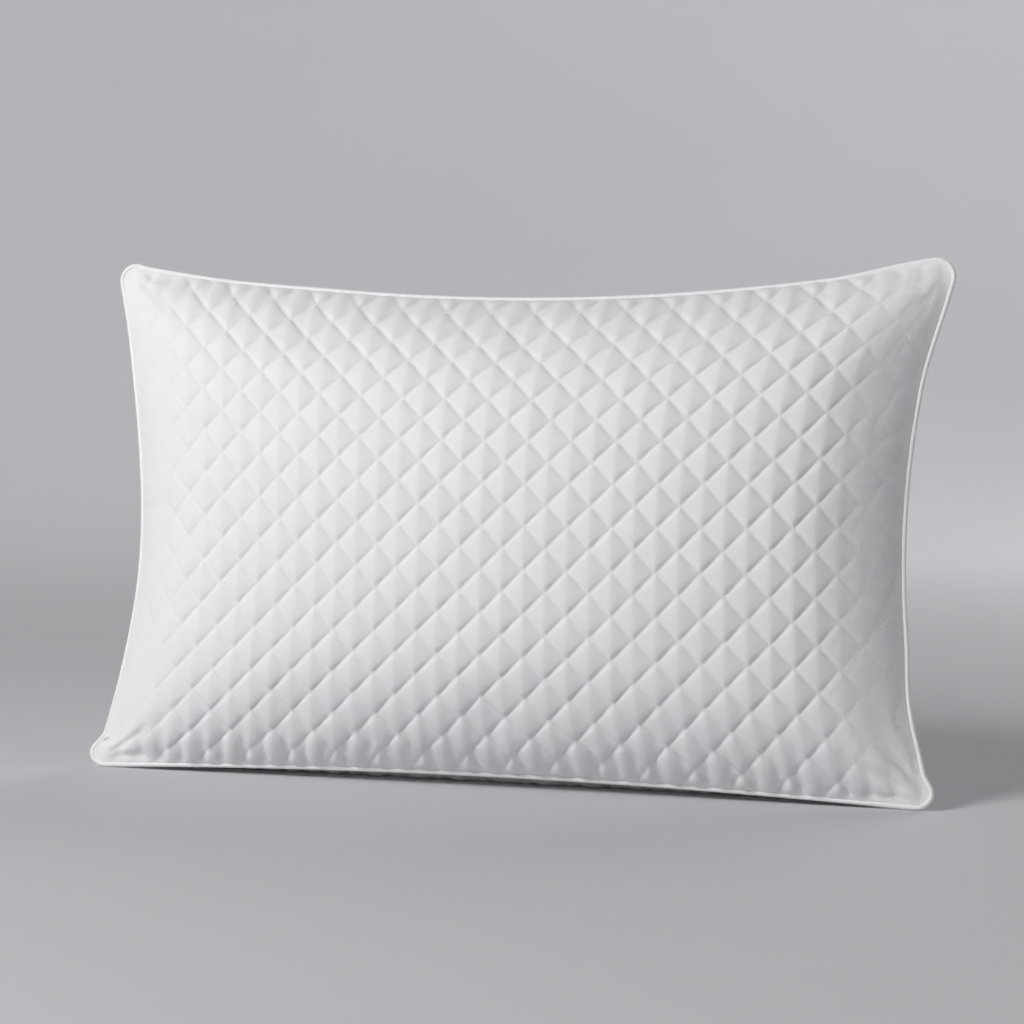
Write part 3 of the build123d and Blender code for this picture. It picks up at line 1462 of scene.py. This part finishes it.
@dataclass
class CoverPanel:
    """One quilted side of the cover: face fabric, quilting thread, wadding and backing."""

    form: PillowForm
    side: Side
    quilting: Quilting
    finishes: Finishes
    refine: int = 5
    lining_depth: float = 0.0032
    gap: float = 0.0003
    wadding_thickness: float = 0.0032
    backing_thickness: float = 0.0006
    stitch_pitch: float = 0.0036
    stitch_length: float = 0.0027
    thread_radius: float = 0.0003
    seam_clearance: int = 4
    lowest: float = 0.0004
    least_thickness: float = 0.0002
    dip_share: float = 0.5
    lining_share: float = 0.65

    def build(self) -> float:
        """Build and dress the panel's pieces.

        Returns:
            Depth of the backing's inner face under the outside.
        """
        base = self.form.refined(self.side, self.refine)
        columns, rows = base.shape[:2]
        place = self.form.cloth_places(columns, rows)
        out = grid_normals(base) * (1.0 if self.side is Side.FRONT else -1.0)
        edge = self.edge_fade(columns, rows)
        room = np.abs(self.form.seam.to_seam(base)[1])
        relief = np.maximum(self.quilting.height(place), -self.dip_share * room) * edge
        skin = base + out * relief[..., None]
        skin[..., 2] = np.maximum(skin[..., 2], self.lowest)
        depth = np.minimum(self.lining_depth, self.lining_share * room) * edge + self.least_thickness
        lining = base - out * depth[..., None]
        self.make_fabric(skin, lining[:: self.refine, :: self.refine], place)
        self.make_stitches(skin, out)
        return self.make_inner_layers()

    @staticmethod
    def edge_fade(columns: int, rows: int) -> np.ndarray:
        """Rise of the relief from nothing at the very seam, over a few points.

        Args:
            columns: Number of fine points across.
            rows: Number of fine points upward.

        Returns:
            Shares from 0 to 1, as (columns, rows).
        """
        i = np.minimum(np.arange(columns), np.arange(columns)[::-1])[:, None]
        j = np.minimum(np.arange(rows), np.arange(rows)[::-1])[None, :]
        return smooth_step(np.minimum(i, j) / 3.0)

    def make_fabric(self, skin: np.ndarray, lining: np.ndarray, place: np.ndarray) -> None:
        """Closed sheet of face fabric: a fine outside and a coarser inside.

        Args:
            skin: The outside's fine grid of points.
            lining: The inside's coarse grid of points.
            place: Places of the fine grid on the cut cloth.
        """
        step = self.refine
        flip = self.side is Side.BACK
        fine = np.arange(skin.shape[0] * skin.shape[1]).reshape(skin.shape[:2])
        coarse = fine.size + np.arange(lining.shape[0] * lining.shape[1]).reshape(lining.shape[:2])
        faces = self.quilted_faces(fine, place, flip)
        faces += grid_faces(*coarse.shape, fine.size, not flip)
        for border_fine, border_coarse, turn in (
            (fine[:, 0], coarse[:, 0], False),
            (fine[:, -1], coarse[:, -1], True),
            (fine[0, :], coarse[0, :], True),
            (fine[-1, :], coarse[-1, :], False),
        ):
            for k in range(len(border_coarse) - 1):
                run = border_fine[k * step : (k + 1) * step + 1].tolist()
                face = run[::-1] + border_coarse[k : k + 2].tolist()
                faces.append(face[::-1] if turn != flip else face)
        vertices = np.concatenate([skin.reshape(-1, 3), lining.reshape(-1, 3)])
        panel = new_object(f"{self.side.word}_quilted_face", vertices, faces)
        places = np.concatenate([place.reshape(-1, 2), place[::step, ::step].reshape(-1, 2)])
        store_fabric_place(panel, places)
        fit_out(panel, self.finishes.knit, "cover_fabric", f"{self.side.word}_face_fabric")

    def quilted_faces(self, number: np.ndarray, place: np.ndarray, flip: bool) -> list:
        """Faces of the fine grid, split along the stitched lines where one crosses them.

        Args:
            number: Point numbers of the grid.
            place: Places of the grid on the cut cloth.
            flip: Whether the faces look the other way.

        Returns:
            Lists of three or four point numbers.
        """
        first, second = self.quilting.lattice(place)
        falling = np.abs(first - np.round(first)) < 0.01
        rising = np.abs(second - np.round(second)) < 0.01
        faces = []
        for i in range(number.shape[0] - 1):
            for j in range(number.shape[1] - 1):
                a, b = int(number[i, j]), int(number[i + 1, j])
                c, d = int(number[i + 1, j + 1]), int(number[i, j + 1])
                if falling[i, j + 1]:
                    cell = [[a, b, d], [b, c, d]]
                elif rising[i, j]:
                    cell = [[a, b, c], [a, c, d]]
                else:
                    cell = [[a, b, c, d]]
                faces += [face[::-1] for face in cell] if flip else cell
        return faces

    def make_stitches(self, skin: np.ndarray, out: np.ndarray) -> None:
        """Short runs of thread along the stitched lines.

        Args:
            skin: The cloth's fine grid of points.
            out: Its outward normals.
        """
        starts, ends, outward = [], [], []
        for i, j in self.stitched_lines(*skin.shape[:2]):
            line, normal = skin[i, j], out[i, j]
            length = np.concatenate([[0.0], np.cumsum(np.linalg.norm(np.diff(line, axis=0), axis=1))])
            first = np.arange(self.stitch_pitch / 2, length[-1] - self.stitch_length, self.stitch_pitch)
            for wanted, source, made in (
                (first, line, starts),
                (first + self.stitch_length, line, ends),
                (first + self.stitch_length / 2, normal, outward),
            ):
                made.append(np.stack([np.interp(wanted, length, source[:, k]) for k in range(3)], 1))
        lowest = 4 * self.thread_radius
        for point in (*starts, *ends):
            point[:, 2] = np.maximum(point[:, 2], lowest)
        runs = [np.concatenate(made) for made in (starts, ends, outward)]
        thread = thread_runs(*runs, self.thread_radius, self.thread_radius * 0.8)
        stitches = new_object(f"{self.side.word}_quilting_thread", *thread)
        fit_out(stitches, self.finishes.thread, "thread")

    def stitched_lines(self, columns: int, rows: int) -> list:
        """The grid's points along every stitched line.

        Args:
            columns: Number of fine points across.
            rows: Number of fine points upward.

        Returns:
            Pairs of column numbers and row numbers.
        """
        period = self.form.steps_per_diamond * self.refine
        clear = self.seam_clearance
        i = np.arange(clear, columns - clear)
        lines = []
        for slope, middle in ((-1, (columns + rows - 2) // 2), (1, (rows - columns) // 2)):
            for start in range(middle % period - 30 * period, columns + rows, period):
                j = start + slope * i
                kept = (j >= clear) & (j < rows - clear)
                if np.count_nonzero(kept) > 2:
                    lines.append((i[kept], j[kept]))
        return lines

    def make_inner_layers(self) -> float:
        """Wadding and backing under the face fabric, as even sheets that follow it.

        Returns:
            Depth of the backing's inner face under the outside.
        """
        word = self.side.word
        depth = self.lining_depth
        for name, thickness, finish, slot in (
            ("wadding", self.wadding_thickness, self.finishes.wadding, "wadding"),
            ("backing", self.backing_thickness, self.finishes.scrim, "backing_scrim"),
        ):
            depth += self.gap
            sheet = self.form.sheet(self.side, depth, depth + thickness)
            layer = new_object(f"{word}_{name}_sheet", *sheet)
            fit_out(layer, finish, slot, f"{word}_{name}")
            depth += thickness
        return depth


@dataclass
class Insert:
    """The filled liner inside the cover."""

    form: PillowForm
    finishes: Finishes
    cover_depth: float
    liner_thickness: float = 0.0006
    gap: float = 0.0006

    def build(self) -> None:
        """Build the liner's two cloths and the filling."""
        depth = self.cover_depth + self.gap
        for side in Side:
            sheet = self.form.sheet(side, depth, depth + self.liner_thickness)
            liner = new_object(f"{side.word}_liner_cloth", *sheet)
            fit_out(liner, self.finishes.liner, "liner_fabric", f"liner_{side.word}")
        body = self.form.closed_body(depth + self.liner_thickness + self.gap)
        filling = new_object("filling_body", *body)
        fit_out(filling, self.finishes.fibre, "filling", "fibre_filling")


@dataclass
class Piping:
    """Round welt sewn into the seam: a strip folded round a cord, with its flange inside."""

    seam: SeamOutline
    finishes: Finishes
    outer_radius: float = 0.0023
    sleeve_radius: float = 0.0017
    flange_width: float = 0.0080
    flange_half_thickness: float = 0.0007
    stations: int = 2200
    round_points: int = 13
    wrinkle: float = 0.00014
    wrinkle_pitch: float = 0.0062
    wrinkle_patch: float = 0.012
    cord_radius: float = 0.0015
    cord_lay: float = 0.0090
    cord_points: int = 12
    strands: int = 3
    groove: float = 0.07
    sleeve_points: int = 8
    overlock_gap: float = 0.0003
    overlock_width: float = 0.0012
    overlock_half_thickness: float = 0.0008
    overlock_pitch: float = 0.0035
    overlock_rib: float = 0.1
    lowest: float = 0.0002

    def build(self) -> None:
        """Build the strip, its cord and the overlocked edge."""
        self.make_strip()
        self.make_cord()
        self.make_overlock()

    def make_cord(self) -> None:
        """Cord of three twisted strands inside the strip."""
        loop, inward, along = self.loop()
        turns = round(along[-1] / self.cord_lay)
        twist = 2 * math.pi * turns * np.arange(len(loop)) / len(loop)
        angles, round_outline = circle(self.cord_radius, self.cord_points)
        strands = np.cos(self.strands * (angles[None, :] - twist[:, None]))
        outlines = (1 - self.groove + self.groove * strands)[..., None] * round_outline[None]
        points = self.tube(loop, inward, outlines)
        faces = self.tube_faces(len(loop), self.cord_points, 0, False)
        cord = new_object("twisted_cord", points, faces)
        fit_out(cord, self.finishes.cord, "cord", "piping_cord")

    def make_overlock(self) -> None:
        """Band of thread that binds the raw edge inside the seam, ribbed by its loops."""
        loop, inward, along = self.loop()
        near = self.flange_width + self.overlock_gap
        far = near + self.overlock_width
        rib = np.cos(2 * math.pi * along / self.overlock_pitch)
        half = self.overlock_half_thickness * (1 - self.overlock_rib + self.overlock_rib * rib)
        corners = np.array([[near, -1.0], [far, -1.0], [far, 1.0], [near, 1.0]])
        outlines = np.repeat(corners[None], len(loop), axis=0)
        outlines[..., 1] *= half[:, None]
        points = self.tube(loop, inward, outlines)
        band = new_object("overlocked_edge", points, self.tube_faces(len(loop), 4, 0, True))
        fit_out(band, self.finishes.thread, "thread", "seam_overlock")

    def section(self) -> np.ndarray:
        """Outline of the folded strip: round the cord, and on along the flange and back.

        Returns:
            Points as (count, 2): distance into the pillow and distance behind the seam plane.
        """
        slit = math.asin(self.flange_half_thickness / self.outer_radius)
        angles = np.linspace(slit, 2 * math.pi - slit, self.round_points)
        bend = self.outer_radius * np.stack([np.cos(angles), np.sin(angles)], 1)
        end = np.array([[self.flange_width, -1.0], [self.flange_width, 1.0]])
        end[:, 1] *= self.flange_half_thickness
        return np.concatenate([bend, end])

    def make_strip(self) -> None:
        """Strip of fabric round the cord, slightly gathered, hollow where the cord lies."""
        loop, inward, along = self.loop()
        outline = self.section()
        turn = np.arctan2(outline[:, 1], outline[:, 0])
        spiral = along[:, None] / self.wrinkle_pitch * 2 * math.pi + 1.2 * np.cos(turn)[None, :]
        uneven = lattice_noise(along / self.wrinkle_patch, along * 0, 31)[:, None]
        swell = 1 + self.wrinkle / self.outer_radius * np.sin(spiral) * (0.5 + 0.5 * uneven)
        outside = self.tube(loop, inward, outline[None, :, :] * swell[..., None])
        angles, sleeve = circle(self.sleeve_radius, self.sleeve_points)
        inside = self.tube(loop, inward, np.broadcast_to(sleeve, (len(loop), *sleeve.shape)))
        first = self.tube_faces(len(loop), len(outline), 0, False)
        second = self.tube_faces(len(loop), self.sleeve_points, outside.shape[0], True)
        strip = new_object("piping_welt", np.concatenate([outside, inside]), first + second)
        round_place = self.outer_radius * np.unwrap(turn)
        places = [
            np.stack(np.broadcast_arrays(along[:, None], around[None, :]), -1).reshape(-1, 2)
            for around in (round_place, self.sleeve_radius * angles)
        ]
        store_fabric_place(strip, np.concatenate(places))
        fit_out(strip, self.finishes.sateen, "piping_fabric", "piping_strip")

    def tube(self, loop: np.ndarray, inward: np.ndarray, outlines: np.ndarray) -> np.ndarray:
        """Points of a tube round the seam.

        Args:
            loop: Points of the seam, as (stations, 2).
            inward: Directions into the pillow, as (stations, 2).
            outlines: One outline per station, as (stations, count, 2).

        Returns:
            Points as (stations times count, 3).
        """
        plane = loop[:, None, :] + inward[:, None, :] * outlines[..., :1]
        points = self.seam.to_world(plane, outlines[..., 1]).reshape(-1, 3)
        points[:, 2] = np.maximum(points[:, 2], self.lowest)
        return points

    @staticmethod
    def tube_faces(stations: int, ring: int, first: int, flip: bool) -> list:
        """Faces of a tube that closes on itself both ways.

        Args:
            stations: Number of rings.
            ring: Points in a ring.
            first: Number of the first point.
            flip: Whether the faces look the other way.

        Returns:
            Lists of four point numbers.
        """
        faces = []
        for k in range(stations):
            after = (k + 1) % stations
            for m in range(ring):
                n = (m + 1) % ring
                quad = [k * ring + m, k * ring + n, after * ring + n, after * ring + m]
                faces.append([first + p for p in (quad[::-1] if flip else quad)])
        return faces

    def loop(self) -> tuple:
        """Evenly spaced points round the seam, their inward directions and their way along it.

        Returns:
            Points and unit directions in the seam plane, as (stations, 2), and the way to each.
        """
        s = self.seam.sides
        line = np.concatenate([s["bottom"][:-1], s["right"][:-1], s["top"][::-1][:-1], s["left"][::-1]])
        points, length = evenly_along(line, self.stations, closed=True)
        travel = np.roll(points, -1, 0) - np.roll(points, 1, 0)
        travel /= np.linalg.norm(travel, axis=1, keepdims=True)
        inward = np.stack([-travel[:, 1], travel[:, 0]], 1)
        return points, inward, np.arange(self.stations) * length / self.stations


@dataclass
class Studio:
    """Seamless floor that curves up all round, lights and camera."""

    finishes: Finishes
    lens_mm: float = 98.4375
    sensor_mm: float = 36.0
    yaw: float = math.radians(15.6)
    pitch: float = math.radians(3.2)
    roll: float = math.radians(0.63)
    distance: float = 2.47
    aim: tuple = (0.006, 0.0, 0.240)
    flat_radius: float = 3.4
    rim_radius: float = 6.4
    rim_height: float = 2.6
    sky: str = "#EEF1F5"
    sky_strength: float = 0.14
    softboxes: tuple = (
        ("key_light", (-1.75, -2.5, 2.2), 1.3, 84.0),
        ("back_light", (1.2, 3.0, 2.4), 2.4, 40.0),
    )
    rim_lights: int = 6
    rim_light_height: float = 3.4
    rim_light_size: float = 2.0
    rim_power: float = 55.0
    floor_spokes: int = 96
    floor_rings: int = 28
    rim_steepness: float = 0.97

    def build(self) -> None:
        """Make the floor, the lights and the camera."""
        self.floor()
        self.camera()
        self.lights()

    def floor(self) -> None:
        """Round paper floor whose rim curves up, so that no horizon shows."""
        spokes, rings = self.floor_spokes, self.floor_rings
        angles = 2 * math.pi * np.arange(spokes) / spokes
        shares = np.linspace(0, 1, rings)
        radii = np.concatenate([[0.0], self.flat_radius + (self.rim_radius - self.flat_radius) * shares])
        curve = 1 - np.sqrt(1 - (self.rim_steepness * shares) ** 2)
        rise = self.rim_height * np.concatenate([[0.0], curve])
        points = [(0.0, 0.0, 0.0)]
        for radius, height in zip(radii[1:], rise[1:]):
            points += [(radius * math.cos(a), radius * math.sin(a), height) for a in angles]
        faces = [[0, 1 + k, 1 + (k + 1) % spokes] for k in range(spokes)]
        for ring in range(rings - 1):
            for k in range(spokes):
                a = 1 + ring * spokes + k
                b = 1 + ring * spokes + (k + 1) % spokes
                faces.append([a, a + spokes, b + spokes, b])
        floor = new_object("studio_floor", np.array(points), faces)
        floor.data.materials.append(self.finishes.paper)

    def camera(self) -> None:
        """Camera at the viewing angle."""
        data = bpy.data.cameras.new("studio_camera")
        data.sensor_width = self.sensor_mm
        data.lens = self.lens_mm
        camera = bpy.data.objects.new("studio_camera", data)
        bpy.context.scene.collection.objects.link(camera)
        forward = Vector((
            -math.sin(self.yaw) * math.cos(self.pitch),
            math.cos(self.yaw) * math.cos(self.pitch),
            -math.sin(self.pitch),
        ))
        turn = forward.to_track_quat("-Z", "Y").to_matrix().to_4x4()
        stand = Matrix.Translation(Vector(self.aim) - forward * self.distance)
        camera.matrix_world = stand @ turn @ Matrix.Rotation(self.roll, 4, "Z")
        bpy.context.scene.camera = camera

    def lights(self) -> None:
        """Large soft light from the upper left, one behind, a ring on the rim and a dim sky."""
        world = bpy.data.worlds.new("studio_world")
        bpy.context.scene.world = world
        world.use_nodes = True
        background = world.node_tree.nodes["Background"]
        background.inputs["Color"].default_value = linear(self.sky)
        background.inputs["Strength"].default_value = self.sky_strength
        for name, place, size, power in self.softboxes:
            self.softbox(name, Vector(place), Vector(self.aim), size, power)
        for k in range(self.rim_lights):
            angle = 2 * math.pi * (k + 0.5) / self.rim_lights
            outward = Vector((math.cos(angle), math.sin(angle), 0))
            place = outward * self.flat_radius + Vector((0, 0, self.rim_light_height))
            aim = outward * self.rim_radius + Vector((0, 0, self.rim_height / 2))
            self.softbox(f"rim_light_{k}", place, aim, self.rim_light_size, self.rim_power)
        bpy.context.scene.view_settings.view_transform = "Standard"

    @staticmethod
    def softbox(name: str, place: Vector, aim: Vector, size: float, power: float) -> None:
        """Add a square soft light.

        Args:
            name: The light's name.
            place: Where it hangs.
            aim: The point it looks at.
            size: Width of its face in metres.
            power: Watts.
        """
        data = bpy.data.lights.new(name, "AREA")
        data.shape = "SQUARE"
        data.size = size
        data.energy = power
        light = bpy.data.objects.new(name, data)
        bpy.context.scene.collection.objects.link(light)
        turn = (aim - place).to_track_quat("-Z", "Y").to_matrix().to_4x4()
        light.matrix_world = Matrix.Translation(place) @ turn


def main() -> None:
    """Build the pillow and its studio."""
    finishes = Finishes()
    seam = SeamOutline()
    form = PillowForm(seam)
    quilting = Quilting(form)
    for side in Side:
        cover_depth = CoverPanel(form, side, quilting, finishes).build()
    Insert(form, finishes, cover_depth).build()
    Piping(seam, finishes).build()
    Studio(finishes).build()


if __name__ == "__main__":
    main()
